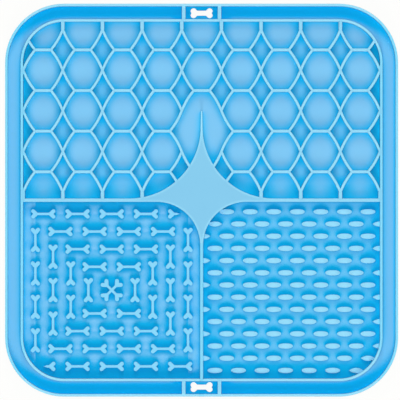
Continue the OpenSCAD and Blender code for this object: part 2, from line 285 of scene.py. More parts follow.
@dataclass(frozen=True)
class SharedEffects:
    """Node groups that every finish of the mat uses."""

    cloud: bpy.types.NodeTree
    mould_grain: bpy.types.NodeTree
    height: bpy.types.NodeTree
    field: bpy.types.NodeTree

    @classmethod
    def build(cls) -> "SharedEffects":
        """Makes each group once."""
        return cls(cloud=noise_group("pigment_cloud", detail=2.0),
                   mould_grain=noise_group("mould_grain", detail=3.0),
                   height=height_group(), field=field_group())


class Region(Enum):
    """Stretch of the mat whose painted shade in the hollows has a look of its own, by its name in a
    HollowLayer.
    """

    CHANNEL = "channel"
    SIDES = "sides"
    CELLS = "cells"
    # The cells next to the cross wall, which get a wider painted shadow of that wall.
    LOWEST_CELLS = "lowest_cells"
    BONES = "bones"
    BONE_SIDES = "bone_sides"
    GRAINS = "grains"


@dataclass(frozen=True)
class Hollow:
    """How shade is painted into the colour where nearby walls close a place in.

    Walls count up to the reach. The painted shade is at its strongest where the share of open air is
    shut, and there is none where it is open. The leans turn the painted shade round a spot to the right,
    towards the middle line that runs up the mat, and away from the middle line that runs across it, so
    that it lies on one side of a wall like a cast shadow.
    """

    reach: float
    shut: float
    open: float
    lean_right: float = 0.0
    lean_in: float = 0.0
    lean_out: float = 0.0


@dataclass(frozen=True)
class HollowLayer:
    """One layer of painted shade round each spot, with a hollow for each region of the mat."""

    channel: Hollow
    sides: Hollow
    cells: Hollow
    lowest_cells: Hollow
    bones: Hollow
    bone_sides: Hollow
    grains: Hollow
    samples: int

    def size(self, tree: bpy.types.NodeTree, masks: dict[Region, Socket], name: str) -> Socket:
        """Adds one size of the hollows, picked by the masks of the regions.

        Args:
            tree: The material's node tree.
            masks: The masks of the regions.
            name: Name of the size.

        Returns:
            The size at each spot.
        """
        total = 0.0
        for region, mask in masks.items():
            size = getattr(getattr(self, region.value), name)
            total = calculate(tree, "MULTIPLY_ADD", mask, size, total)
        return total


@dataclass(frozen=True)
class RegionColours:
    """One tone of the colour, with a colour for each region of the mat: the painted shade, or the lit
    body colour.
    """

    channel: Colour
    sides: Colour
    cells: Colour
    lowest_cells: Colour
    bones: Colour
    bone_sides: Colour
    grains: Colour

    def colour(self, tree: bpy.types.NodeTree, masks: dict[Region, Socket]) -> Socket:
        """Adds the tone, picked by the masks of the regions.

        Args:
            tree: The material's node tree.
            masks: The masks of the regions.

        Returns:
            The colour at each spot.
        """
        mixed = rgba(self.channel)
        for region, mask in masks.items():
            mixed = blend(tree, mask, mixed, rgba(getattr(self, region.value)))
        return mixed


# Painted shade in two layers: a wide one between walls and nubs, and a close one for the dark lines at
# their feet.
WIDE_LAYER = HollowLayer(
    channel=Hollow(reach=7 * MM, shut=0.46, open=0.68, lean_out=2.5),
    sides=Hollow(reach=4.5 * MM, shut=0.15, open=0.95, lean_in=0.3),
    cells=Hollow(reach=6 * MM, shut=0.31, open=0.90),
    lowest_cells=Hollow(reach=8.5 * MM, shut=0.35, open=1.01),
    bones=Hollow(reach=8.5 * MM, shut=0.45, open=0.66, lean_right=0.25, lean_out=2.5),
    bone_sides=Hollow(reach=5 * MM, shut=0.42, open=0.66, lean_out=2.5),
    grains=Hollow(reach=10 * MM, shut=0.365, open=0.71, lean_out=2.5),
    samples=16,
)
CLOSE_LAYER = HollowLayer(
    channel=Hollow(reach=1.5 * MM, shut=0.0, open=0.5),
    sides=Hollow(reach=2 * MM, shut=0.1, open=0.7, lean_right=0.8),
    cells=Hollow(reach=2.2 * MM, shut=0.02, open=0.55, lean_right=0.6),
    lowest_cells=Hollow(reach=2.2 * MM, shut=0.02, open=0.55, lean_right=0.6),
    bones=Hollow(reach=4 * MM, shut=0.3, open=0.8, lean_out=-1.2),
    bone_sides=Hollow(reach=3 * MM, shut=0.3, open=0.9),
    grains=Hollow(reach=3 * MM, shut=0.3, open=0.82),
    samples=8,
)
# Colour painted where the shade is full.
SHADE_TONE = RegionColours(
    channel=(0.0, 0.55, 0.93),
    sides=(0.0, 0.52, 0.86),
    cells=(0.0, 0.57, 0.90),
    lowest_cells=(0.0, 0.57, 0.90),
    bones=(0.0, 0.44, 0.79),
    bone_sides=(0.0, 0.46, 0.82),
    grains=(0.0, 0.46, 0.81),
)
# The silicone's own colour where it lies open and lit; its regions differ a little as painted light.
LIT_BODY_TONE = RegionColours(
    channel=(0.24, 0.59, 0.84),
    sides=(0.20, 0.57, 0.84),
    cells=(0.24, 0.59, 0.84),
    lowest_cells=(0.21, 0.58, 0.85),
    bones=(0.26, 0.62, 0.92),
    bone_sides=(0.20, 0.60, 0.88),
    grains=(0.22, 0.61, 0.91),
)


@dataclass(frozen=True)
class SiliconeFinish:
    """Matt, lightly clouded silicone with the grain of a blasted mould, with painted shade in its
    hollows and a painted highlight on thin walls and nub crests.
    """

    name: str
    # Painted shade, and the lit body colour that it fades to in the open.
    shade_tone: RegionColours = SHADE_TONE
    body: RegionColours = LIT_BODY_TONE
    # Painted highlight on thin walls and crests, bluer on the walls that run up the mat.
    pale: Colour = (0.36, 0.80, 1.0)
    side_highlight: Colour = (0.25, 0.76, 1.0)
    side_walls_from: float = 90 * MM
    lower_wall_half: float = 1.3 * MM
    lower_wall_top: float = -22 * MM
    gloss: Colour = (0.15, 0.6, 1.0)
    roughness: float = 0.5
    specular: float = 0.2
    # Layers of painted shade.
    hollows: tuple[HollowLayer, ...] = (WIDE_LAYER, CLOSE_LAYER)
    # Walls thinner than this get the painted highlight, a painted glow of light through them.
    thin_wall: float = 1.45 * MM
    thin_open: float = 0.5
    thin_shut: float = 0.95
    thin_samples: int = 4
    # Strength of the painted highlight on the nubs' crests, and its lean towards the mat's lower side
    # and its lamp.
    crest: float = 0.0
    crest_lean: float = 0.0
    tilted: float = 0.45
    level: float = 0.85
    cloud_size: float = 22 * MM
    cloud_amount: float = 0.12
    cloud_contrast: float = 1.4
    grain_size: float = 0.35 * MM
    grain_depth: float = 0.012 * MM
    highlight_from: float = 11.9 * MM
    highlight_to: float = 12.9 * MM
    field_core: float = 70 * MM
    field_corner: float = 21.5 * MM
    side_from: float = -15 * MM
    side_to: float = 38 * MM
    bone_middle: float = -45.8 * MM
    bone_side: float = 39 * MM
    above_nubs: float = 9 * MM
    lowest_cells_from: float = 14 * MM
    lowest_cells_to: float = 6 * MM

    def regions(self, tree: bpy.types.NodeTree, shared: SharedEffects,
                place: Outputs) -> dict[Region, Socket]:
        """Adds the masks of the regions.

        Args:
            tree: The material's node tree.
            shared: The node groups of the mat's finishes.
            place: The object coordinates, split up.

        Returns:
            The mask of each region.
        """
        inside = add_node(tree, "Group", node_tree=shared.field, Core=self.field_core,
                          Corner=self.field_corner).outputs["Mask"]
        low = calculate(tree, "LESS_THAN", place["Z"], self.above_nubs)
        upper = calculate(tree, "GREATER_THAN", place["Y"], 0.0)
        right = calculate(tree, "GREATER_THAN", place["X"], 0.0)
        upper_field = calculate(tree, "MULTIPLY", inside, upper)
        nubs = calculate(tree, "MULTIPLY", calculate(tree, "SUBTRACT", inside, upper_field), low)
        grains = calculate(tree, "MULTIPLY", nubs, right)
        all_bones = calculate(tree, "SUBTRACT", nubs, grains)
        away = calculate(tree, "ABSOLUTE", calculate(tree, "SUBTRACT", place["X"], self.bone_middle))
        near_wall = calculate(tree, "GREATER_THAN", away, self.bone_side)
        bone_sides = calculate(tree, "MULTIPLY", all_bones, near_wall)
        ahead = calculate(tree, "SUBTRACT", calculate(tree, "ABSOLUTE", place["X"]),
                          calculate(tree, "ABSOLUTE", place["Y"]))
        beside = smooth_step(tree, ahead, self.side_from, self.side_to)
        outside = calculate(tree, "MULTIPLY", calculate(tree, "SUBTRACT", 1.0, inside), low)
        sides = calculate(tree, "MULTIPLY", outside, beside)
        strip = smooth_step(tree, place["Y"], self.lowest_cells_from, self.lowest_cells_to)
        lowest_cells = calculate(tree, "MULTIPLY", calculate(tree, "MULTIPLY", upper_field, low), strip)
        others = calculate(tree, "ADD", calculate(tree, "ADD", outside, nubs), lowest_cells)
        return {
            Region.CHANNEL: calculate(tree, "SUBTRACT", outside, sides),
            Region.SIDES: sides,
            Region.CELLS: calculate(tree, "SUBTRACT", 1.0, others),
            Region.LOWEST_CELLS: lowest_cells,
            Region.BONES: calculate(tree, "SUBTRACT", all_bones, bone_sides),
            Region.BONE_SIDES: bone_sides,
            Region.GRAINS: grains,
        }

    def openness(self, tree: bpy.types.NodeTree, place: Outputs, masks: dict[Region, Socket],
                 crest: Socket) -> Socket:
        """Adds the share of open air round a spot, which sets how much shade is painted there.

        Args:
            tree: The material's node tree.
            place: The object coordinates, split up.
            masks: The masks of the regions.
            crest: The mask of the nubs' upper parts, which get a painted highlight and no painted shade.

        Returns:
            A value from 0 in a closed hollow, with full painted shade, to 1 in the open.
        """
        link = tree.links.new
        surface = add_node(tree, "NewGeometry")
        upwards = calculate(tree, "SIGN", place["Y"])
        leftwards = calculate(tree, "SUBTRACT", 0.0, calculate(tree, "SIGN", place["X"]))
        openness = 1.0
        for layer in self.hollows:
            lean = add_node(tree, "CombineXYZ")
            link(calculate(tree, "MULTIPLY_ADD", leftwards, layer.size(tree, masks, "lean_in"),
                           layer.size(tree, masks, "lean_right")), lean.inputs["X"])
            link(calculate(tree, "MULTIPLY", upwards, layer.size(tree, masks, "lean_out")),
                 lean.inputs["Y"])
            facing = add_node(tree, "VectorMath", operation="ADD")
            even = add_node(tree, "VectorMath", operation="NORMALIZE")
            walls = add_node(tree, "AmbientOcclusion", samples=layer.samples)
            link(layer.size(tree, masks, "reach"), walls.inputs["Distance"])
            link(surface.outputs["Normal"], facing.inputs[0])
            link(lean.outputs[0], facing.inputs[1])
            link(facing.outputs[0], even.inputs[0])
            link(even.outputs[0], walls.inputs["Normal"])
            step = smooth_step(tree, walls.outputs["AO"], layer.size(tree, masks, "shut"),
                               layer.size(tree, masks, "open"))
            openness = calculate(tree, "MULTIPLY", step, openness)
        return calculate(tree, "MAXIMUM", openness, crest)

    def crown(self, tree: bpy.types.NodeTree, shared: SharedEffects) -> Socket:
        """Adds the mask of the painted highlight on the nubs' tops, where they face up or towards the
        mat's lower side.

        Args:
            tree: The material's node tree.
            shared: The node groups of the mat's finishes.

        Returns:
            A value from 0 to 1, and 0 everywhere on a finish without crests.
        """
        height = add_node(tree, "Group", node_tree=shared.height, Low=self.highlight_from, High=self.highlight_to)
        facing = add_node(tree, "VectorMath", operation="DOT_PRODUCT")
        facing.inputs[1].default_value = Vector((0, -self.crest_lean, 1)).normalized()
        tree.links.new(add_node(tree, "NewGeometry").outputs["Normal"], facing.inputs[0])
        level = smooth_step(tree, facing.outputs["Value"], self.tilted, self.level)
        raised = calculate(tree, "MULTIPLY", height.outputs["Mask"], level)
        return calculate(tree, "MULTIPLY", raised, self.crest)

    def painted_highlight_share(self, tree: bpy.types.NodeTree, shared: SharedEffects, crest: Socket) -> Socket:
        """Adds the share of painted highlight on thin walls and nub crests, with faint clouds in the
        pigment.

        Args:
            tree: The material's node tree.
            shared: The node groups of the mat's finishes.
            crest: The mask of the nubs' upper parts, where a highlight is painted.

        Returns:
            A value from 0 to 1.
        """
        # Thin walls get a painted glow, as of light that passes through them.
        inside = add_node(tree, "AmbientOcclusion", samples=self.thin_samples, inside=True,
                          only_local=True, Distance=self.thin_wall)
        thin = smooth_step(tree, inside.outputs["AO"], self.thin_shut, self.thin_open)
        raised = calculate(tree, "MAXIMUM", crest, thin)
        cloud = add_node(tree, "Group", node_tree=shared.cloud, Grains_per_Metre=1 / self.cloud_size,
                         Contrast=self.cloud_contrast)
        faint = calculate(tree, "MULTIPLY_ADD", cloud.outputs["Mask"], self.cloud_amount, raised)
        faint.node.use_clamp = True
        return faint

    def painted_highlight_colour(self, tree: bpy.types.NodeTree, place: Outputs) -> Socket:
        """Adds the colour of the painted highlight on thin walls and crests, bluer on the side walls and
        the lower wall, which run up the mat.

        Args:
            tree: The material's node tree.
            place: The object coordinates, split up.

        Returns:
            The colour.
        """
        aside = calculate(tree, "ABSOLUTE", place["X"])
        outer = calculate(tree, "GREATER_THAN", aside, self.side_walls_from)
        middle = calculate(tree, "LESS_THAN", aside, self.lower_wall_half)
        below = calculate(tree, "LESS_THAN", place["Y"], self.lower_wall_top)
        upright = calculate(tree, "MAXIMUM", outer, calculate(tree, "MULTIPLY", middle, below))
        return blend(tree, upright, rgba(self.pale), rgba(self.side_highlight))

    def material(self, shared: SharedEffects) -> bpy.types.Material:
        """Builds the material.

        Args:
            shared: The node groups of the mat's finishes.

        Returns:
            The finished material.
        """
        made = bpy.data.materials.new(self.name)
        made.use_nodes = True
        tree = made.node_tree
        tree.nodes.clear()
        link = tree.links.new
        skin = add_node(tree, "BsdfPrincipled", Roughness=self.roughness,
                        Specular_IOR_Level=self.specular, Specular_Tint=rgba(self.gloss))
        leave = add_node(tree, "OutputMaterial")
        link(skin.outputs["BSDF"], leave.inputs["Surface"])

        place = add_node(tree, "SeparateXYZ")
        link(add_node(tree, "TexCoord").outputs["Object"], place.inputs[0])
        masks = self.regions(tree, shared, place.outputs)
        crest = self.crown(tree, shared)
        openness = self.openness(tree, place.outputs, masks, crest)
        # Painted light: the highlight is held back in the hollows, and the colour runs from painted
        # shade to the lit body colour by the openness.
        lit = calculate(tree, "MULTIPLY", self.painted_highlight_share(tree, shared, crest), openness)
        shade = blend(tree, openness, self.shade_tone.colour(tree, masks), self.body.colour(tree, masks))
        colour = blend(tree, lit, shade, self.painted_highlight_colour(tree, place.outputs))
        link(colour, skin.inputs["Base Color"])

        grain = add_node(tree, "Group", node_tree=shared.mould_grain,
                         Grains_per_Metre=1 / self.grain_size)
        bump = add_node(tree, "Bump", Strength=1.0, Distance=self.grain_depth)
        link(grain.outputs["Mask"], bump.inputs["Height"])
        link(bump.outputs["Normal"], skin.inputs["Normal"])
        return made


class EdgeStyle(Enum):
    """How the rings of a rounded edge follow the outline."""

    EVEN = "at an even distance from the outline"
    DRAWN_IN = "drawn in towards the middle of each form"


@dataclass(frozen=True)
class EdgeRound:
    """Rounded top edge of a moulded form, as rings that step in and up."""

    radius: float
    steps: int
    flat_ring: float = 0.05 * MM
    crown_rings: int = 1
    style: EdgeStyle = EdgeStyle.EVEN
    longest_mitre: float = 1.6

    def rings(self) -> list[tuple[float, float]]:
        """Works out the rings from the side to the flat top.

        Returns:
            How far each ring lies further in than the one before, and how far below the top.
        """
        turns = [QUARTER_TURN * step / self.steps for step in range(1, self.steps + 1)]
        insets = [self.radius * (1 - math.cos(turn)) for turn in turns]
        drops = [self.radius * (1 - math.sin(turn)) for turn in turns]
        steps_in = [inset - before for inset, before in zip(insets, [0.0, *insets])]
        return [*zip(steps_in, drops), *[(self.flat_ring, 0.0)] * self.crown_rings]


def arc(middle: Vector, radius: float, start: float, stop: float, steps: int) -> list[Vector]:
    """Works out points along an arc.

    Args:
        middle: Middle of the arc.
        radius: Its radius.
        start: Angle of the first point, in degrees.
        stop: Angle of the last point, in degrees.
        steps: Number of stretches between the points.

    Returns:
        The points, in order.
    """
    angles = [math.radians(start + (stop - start) * step / steps) for step in range(steps + 1)]
    return [middle + radius * Vector((math.cos(angle), math.sin(angle))) for angle in angles]


def finish_piece(mesh: bmesh.types.BMesh, name: str, stands_for: Iterable[str],
                 material: bpy.types.Material) -> bpy.types.Object:
    """Makes an object of a finished mesh and fastens it to the frame.

    Args:
        mesh: The finished mesh, in the frame's own place. It is freed.
        name: Name of the piece.
        stands_for: Names of the frame's nodes that the piece replaces.
        material: Finish of the piece.

    Returns:
        The piece.
    """
    data = bpy.data.meshes.new(name)
    mesh.to_mesh(data)
    mesh.free()
    data.shade_smooth()
    data.set_sharp_from_angle(angle=CREASE)
    data.materials.append(material)
    piece = bpy.data.objects.new(name, data)
    shading = piece.modifiers.new("even_shading", "WEIGHTED_NORMAL")
    shading.keep_sharp = True
    bpy.context.scene.collection.objects.link(piece)
    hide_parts(*stands_for)
    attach(piece, BODY)
    log.info("%s: %d faces", name, len(data.polygons))
    return piece


def node_copy(name: str) -> bmesh.types.BMesh:
    """Copies the mesh of a frame node and merges its doubles.

    Args:
        name: Name of the node.

    Returns:
        The merged copy.
    """
    mesh = bmesh.new()
    mesh.from_mesh(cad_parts[name].data)
    bmesh.ops.remove_doubles(mesh, verts=mesh.verts, dist=WELD)
    return mesh


def keep_plan(mesh: bmesh.types.BMesh) -> None:
    """Leaves only the faces on which the solids of a mesh stand.

    Args:
        mesh: The merged solids.
    """
    low = min(vert.co.z for vert in mesh.verts)
    gone = [face for face in mesh.faces
            if face.normal.z > FACING_DOWN or face.calc_center_median().z > low + FOOT_DEPTH]
    bmesh.ops.delete(mesh, geom=gone, context="FACES")


def filled_plan(rims: bmesh.types.BMesh, inside: BVHTree) -> bmesh.types.BMesh:
    """Fills outlines with triangles where a search tree of flat faces has something.

    Args:
        rims: Flat faces or edges whose open edges are the outlines.
        inside: Search tree of the flat faces to fill.

    Returns:
        Flat triangles at the height of the outlines.
    """
    rims.verts.index_update()
    low = rims.verts[:][0].co.z
    spots = [vert.co.to_2d() / MM for vert in rims.verts]
    pairs = [tuple(vert.index for vert in edge.verts) for edge in rims.edges if edge.is_boundary]
    corners, _, triangles, *_ = delaunay_2d_cdt(spots, pairs, [], 0, FILL_PRECISION, False)
    plan = bmesh.new()
    verts = [plan.verts.new((*(corner * MM), low)) for corner in corners]
    for triangle in triangles:
        middle = sum((verts[index].co for index in triangle), Vector()) / len(triangle)
        if inside.find_nearest(middle, GAP)[0] is not None:
            plan.faces.new([verts[index] for index in triangle])
    loose = [vert for vert in plan.verts if not vert.link_faces]
    bmesh.ops.delete(plan, geom=loose, context="VERTS")
    slits = [edge for edge in plan.edges if edge.is_boundary]
    bmesh.ops.holes_fill(plan, edges=slits, sides=3)
    return plan


def merged_plan(names: Iterable[str], weld: float) -> bmesh.types.BMesh:
    """Joins the plans of several nodes into one, with no line where they meet.

    Args:
        names: Names of the frame's nodes.
        weld: Least distance between two corners of the outline.

    Returns:
        Flat triangles that point up, at the height on which the nodes stand.
    """
    plans = bmesh.new()
    for name in names:
        copy = node_copy(name)
        keep_plan(copy)
        scratch = bpy.data.meshes.new("plan")
        copy.to_mesh(scratch)
        copy.free()
        plans.from_mesh(scratch)
        bpy.data.meshes.remove(scratch)
    inside = BVHTree.FromBMesh(plans)
    joined = filled_plan(plans, inside)
    plans.free()
    tidy_plan(joined, weld)
    plan = filled_plan(joined, inside)
    joined.free()
    turn_up(plan)
    return plan


def turn_up(plan: bmesh.types.BMesh) -> None:
    """Makes the faces of a plan point up.

    Args:
        plan: Flat faces.
    """
    bmesh.ops.recalc_face_normals(plan, faces=plan.faces)
    if sum(face.normal.z for face in plan.faces) < 0:
        bmesh.ops.reverse_faces(plan, faces=plan.faces)


def tidy_plan(plan: bmesh.types.BMesh, weld: float) -> None:
    """Joins the faces of a plan and turns them up.

    Args:
        plan: Flat faces.
        weld: Least distance between two corners.
    """
    bmesh.ops.remove_doubles(plan, verts=plan.verts, dist=weld)
    bmesh.ops.dissolve_limit(plan, angle_limit=STRAIGHT, use_dissolve_boundaries=False,
                             verts=plan.verts, edges=plan.edges)
    turn_up(plan)


def thin_outline(plan: bmesh.types.BMesh, bend: float) -> None:
    """Takes every second point out of the round stretches of an outline.

    Args:
        plan: Flat faces, one for each outline.
        bend: Angle in degrees that a corner of the outline turns by at least.
    """
    spare = []
    for face in plan.faces:
        points = face.verts[:]
        taken = False
        for before, vert, after in zip([points[-1], *points], points, [*points[1:], points[0]]):
            turn = (vert.co - before.co).angle(after.co - vert.co)
            taken = not taken and turn < math.radians(bend)
            if taken:
                spare.append(vert)
    bmesh.ops.dissolve_verts(plan, verts=spare)


def round_outlines(plan: bmesh.types.BMesh, corners: int, fullness: float) -> None:
    """Gives every form of a plan a full oval outline of its own length and width.

    Args:
        plan: Flat faces that point up, one for each form.
        corners: Number of points of an oval.
        fullness: Power of the oval: 2 is an ellipse, and more is fuller.
    """
    for face in plan.faces[:]:
        middle = face.calc_center_bounds()
        half_x = max(abs(vert.co.x - middle.x) for vert in face.verts)
        half_y = max(abs(vert.co.y - middle.y) for vert in face.verts)
        ring = []
        for step in range(corners):
            turn = (2 * step + 1) * math.pi / corners
            away_x, away_y = (math.copysign(abs(way) ** (2 / fullness), way)
                              for way in (math.cos(turn), math.sin(turn)))
            spot = (middle.x + half_x * away_x, middle.y + half_y * away_y, middle.z)
            ring.append(plan.verts.new(spot))
        bmesh.ops.delete(plan, geom=face.verts[:], context="VERTS")
        plan.faces.new(ring)
    plan.normal_update()


def limit_mitres(crown: list[bmesh.types.BMFace], thickness: float, longest: float) -> None:
    """Shortens the way that a crown's corners took into the form, where an outline turns sharply.

    Args:
        crown: The faces that were set in.
        thickness: How far they were set in.
        longest: Longest way of a corner, as a share of the thickness.
    """
    corners = {vert for face in crown for vert in face.verts}
    for vert in corners:
        outer = [edge.other_vert(vert) for edge in vert.link_edges
                 if edge.other_vert(vert) not in corners]
        if outer:
            start = min(outer, key=lambda other: (other.co - vert.co).length).co
            way = vert.co.xy - start.xy
            if way.length > longest * thickness:
                vert.co.xy = start.xy + way * (longest * thickness / way.length)


def raise_form(plan: bmesh.types.BMesh, base: float, top: Callable[[Vector], float],
               edge: EdgeRound) -> None:
    """Raises a plan to a closed form with a rounded top edge.

    Args:
        plan: Flat faces that point up. The form is built in this mesh.
        base: Height of the form's underside.
        top: Gives the height of the form's top at a point.
        edge: The rounded edge.
    """
    for vert in plan.verts:
        vert.co.z = base
    under = plan.faces[:]
    raised = bmesh.ops.extrude_face_region(plan, geom=[*plan.verts, *plan.edges, *plan.faces],
                                           use_keep_orig=True)["geom"]
    crown = [item for item in raised if isinstance(item, bmesh.types.BMFace)]
    bmesh.ops.reverse_faces(plan, faces=under)

    def lift(drop: float) -> None:
        """Sets the crown at its height less the drop."""
        for vert in {vert for face in crown for vert in face.verts}:
            vert.co.z = top(vert.co) - drop

    lift(edge.radius)
    for step_in, drop in edge.rings():
        if edge.style is EdgeStyle.EVEN:
            bmesh.ops.inset_region(plan, faces=crown, thickness=step_in, use_even_offset=True)
            limit_mitres(crown, step_in, edge.longest_mitre)
        else:
            bmesh.ops.inset_individual(plan, faces=crown, thickness=0)
            for face in crown:
                middle = face.calc_center_bounds()
                reach = max((vert.co.xy - middle.xy).length for vert in face.verts)
                half = min(reach, max(abs(vert.co.y - middle.y) for vert in face.verts))
                share = Vector((1 - step_in / reach, 1 - step_in / half, 1))
                bmesh.ops.scale(plan, vec=share, space=Matrix.Translation(-middle), verts=face.verts)
        lift(drop)
    if edge.style is EdgeStyle.DRAWN_IN:
        for vert in bmesh.ops.poke(plan, faces=crown, center_mode="BOUNDS")["verts"]:
            vert.co.z = top(vert.co)
    bmesh.ops.recalc_face_normals(plan, faces=plan.faces)


@dataclass
class Rim:
    """Outer rim: one profile led round the mat's rounded square."""

    half: float
    under: float
    top: float
    corner: float = 30 * MM
    width: float = 1.3 * MM
    edge: float = 0.22 * MM
    foot: float = 0.7 * MM
    above_sheet: float = 0.01 * MM
    edge_steps: int = 4
    corner_steps: int = 20

    @classmethod
    def from_frame(cls) -> "Rim":
        """Reads the rim's outline and heights from the frame.

        Returns:
            The rim, ready to be built.
        """
        _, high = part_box("outer_rim")
        sheet_low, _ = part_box("channel_floor")
        return cls(half=high.x, under=sheet_low.z + cls.above_sheet, top=high.z)

    def profile(self) -> list[Vector]:
        """Works out the rim's cross-section.

        Returns:
            Points of the closed section, as distances in from the outline and heights.
        """
        edge, foot, steps = self.edge, self.foot, self.edge_steps
        return [
            *arc(Vector((foot, self.under + foot)), foot, 270, 180, steps),
            *arc(Vector((edge, self.top - edge)), edge, 180, 90, steps),
            *arc(Vector((self.width - edge, self.top - edge)), edge, 90, 0, steps),
            Vector((self.width, self.under)),
        ]

    def build(self, material: bpy.types.Material) -> bpy.types.Object:
        """Spins the section round one corner, turns copies of it and bridges the sides.

        Args:
            material: Finish of the rim.

        Returns:
            The rim.
        """
        mesh = bmesh.new()
        turn = self.half - self.corner
        section = [mesh.verts.new((self.half - point.x, turn, point.y)) for point in self.profile()]
        edges = [mesh.edges.new(pair) for pair in zip(section, [*section[1:], section[0]])]
        bmesh.ops.spin(mesh, geom=[*section, *edges], cent=(turn, turn, 0), axis=UP,
                       angle=QUARTER_TURN, steps=self.corner_steps, use_merge=False)
        corner = [*mesh.verts, *mesh.edges, *mesh.faces]
        for quarter in range(1, QUARTERS):
            copy = bmesh.ops.duplicate(mesh, geom=corner)["geom"]
            moved = [item for item in copy if isinstance(item, bmesh.types.BMVert)]
            bmesh.ops.rotate(mesh, verts=moved, cent=(0, 0, 0),
                             matrix=Matrix.Rotation(quarter * QUARTER_TURN, 3, "Z"))
        within = self.half - 2 * self.width
        for quarter in range(QUARTERS):
            facing = Matrix.Rotation(quarter * QUARTER_TURN, 3, "Z") @ Vector((1, 0, 0))
            ends = [edge for edge in mesh.edges
                    if edge.is_boundary and all(vert.co @ facing > within for vert in edge.verts)]
            bmesh.ops.bridge_loops(mesh, edges=ends)
        bmesh.ops.recalc_face_normals(mesh, faces=mesh.faces)
        return finish_piece(mesh, "rounded_rim", ["outer_rim"], material)


@dataclass
class FloorSheet:
    """Floor of the mat in one sheet, with both hang slots cut through it."""

    nodes: tuple[str, ...] = ("floor_panel", "channel_floor", "hang_tabs")
    weld: float = 0.02 * MM
    rim_bite: float = 0.65 * MM
    slot_reach: float = 10 * MM
    slot_inset: float = 1 * MM
    edge: EdgeRound = EdgeRound(radius=0.25 * MM, steps=2)

    def build(self, material: bpy.types.Material) -> bpy.types.Object:
        """Thickens the joined plan of the floor and rounds the edges of its slots.

        Args:
            material: Finish of the floor.

        Returns:
            The floor.
        """
        low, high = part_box("floor_panel")
        plan = merged_plan(self.nodes, self.weld)
        reach = max(vert.co.x for vert in plan.verts)
        rims = {vert for edge in plan.edges if edge.is_boundary for vert in edge.verts}
        slots = {vert for vert in rims
                 if abs(vert.co.x) < self.slot_reach and abs(vert.co.y) < reach - self.slot_inset}
        for vert in rims - slots:
            vert.co.xy *= (reach - self.rim_bite) / reach
        raise_form(plan, low.z, lambda spot: high.z, self.edge)
        return finish_piece(plan, "floor_sheet", self.nodes, material)


@dataclass
class WallNetwork:
    """All walls inside the rim: the inner wall, the dividers, the star and the honeycomb."""

    nodes: tuple[str, ...] = (
        "inner_wall", "short_ribs", "cross_wall", "lower_wall", "star_divider",
        "honeycomb_level_ribs", "honeycomb_rising_ribs", "honeycomb_falling_ribs",
        "honeycomb_crossings", "honeycomb_top_stubs", "honeycomb_bottom_stubs",
    )
    edge: EdgeRound = EdgeRound(radius=0.3 * MM, steps=3)
    weld: float = 0.06 * MM
    sunk: float = 0.2 * MM
    below_rim: float = 0.01 * MM
    rim_bite: float = 0.6 * MM
    rim_reach: float = 0.01 * MM

    def build(self, material: bpy.types.Material) -> bpy.types.Object:
        """Raises the joined plan of the walls.

        Args:
            material: Finish of the walls.

        Returns:
            The network of walls.
        """
        low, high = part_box("inner_wall")
        plan = merged_plan(self.nodes, self.weld)
        reach = max(vert.co.y for vert in plan.verts)
        for vert in plan.verts:
            if abs(vert.co.y) > reach - self.rim_reach:
                vert.co.y += math.copysign(self.rim_bite, vert.co.y)
        raise_form(plan, low.z - self.sunk, lambda spot: high.z - self.below_rim, self.edge)
        return finish_piece(plan, "moulded_walls", self.nodes, material)


@dataclass
class NubField:
    """A field of low nubs whose outlines and crowns follow the frame."""

    name: str
    node: str
    edge: EdgeRound
    weld: float = 0.05 * MM
    bend: float = 10.0
    sunk: float = 0.2 * MM
    wall_bite: float = 0.5 * MM
    wall_reach: float = 0.03 * MM
    look_above: float = 1 * MM
    look_spare: float = 0.9 * MM
    oval_corners: int = 0
    oval_fullness: float = 2.2

    def build(self, material: bpy.types.Material, walls: BVHTree) -> bpy.types.Object:
        """Raises each nub to its own crown, and leads nubs that a wall cuts into that wall.

        Args:
            material: Finish of the nubs.
            walls: Search tree of the network of walls.

        Returns:
            The nubs as one piece.
        """
        solid = node_copy(self.node)
        crowns = BVHTree.FromBMesh(solid)
        low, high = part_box(self.node)
        keep_plan(solid)
        tidy_plan(solid, self.weld)
        if self.oval_corners:
            round_outlines(solid, self.oval_corners, self.oval_fullness)
        else:
            thin_outline(solid, self.bend)
        middle = (low.z + high.z) / 2
        for vert in solid.verts:
            spot = Vector((vert.co.x, vert.co.y, middle))
            _, facing, _, _ = walls.find_nearest(spot, self.wall_reach)
            if facing is not None:
                vert.co -= facing * self.wall_bite

        def top(spot: Vector) -> float:
            """Finds the height of the crown above a spot, or of the crown nearest to it.

            Args:
                spot: The spot, at any height.

            Returns:
                The height.
            """
            over = Vector((spot.x, spot.y, high.z + self.look_above))
            hit, _, _, _ = crowns.ray_cast(over, DOWN, high.z - low.z + self.look_spare)
            if hit is None:
                hit, _, _, _ = crowns.find_nearest(Vector((spot.x, spot.y, high.z)))
            return hit.z

        raise_form(solid, low.z - self.sunk, top, self.edge)
        return finish_piece(solid, self.name, [self.node], material)


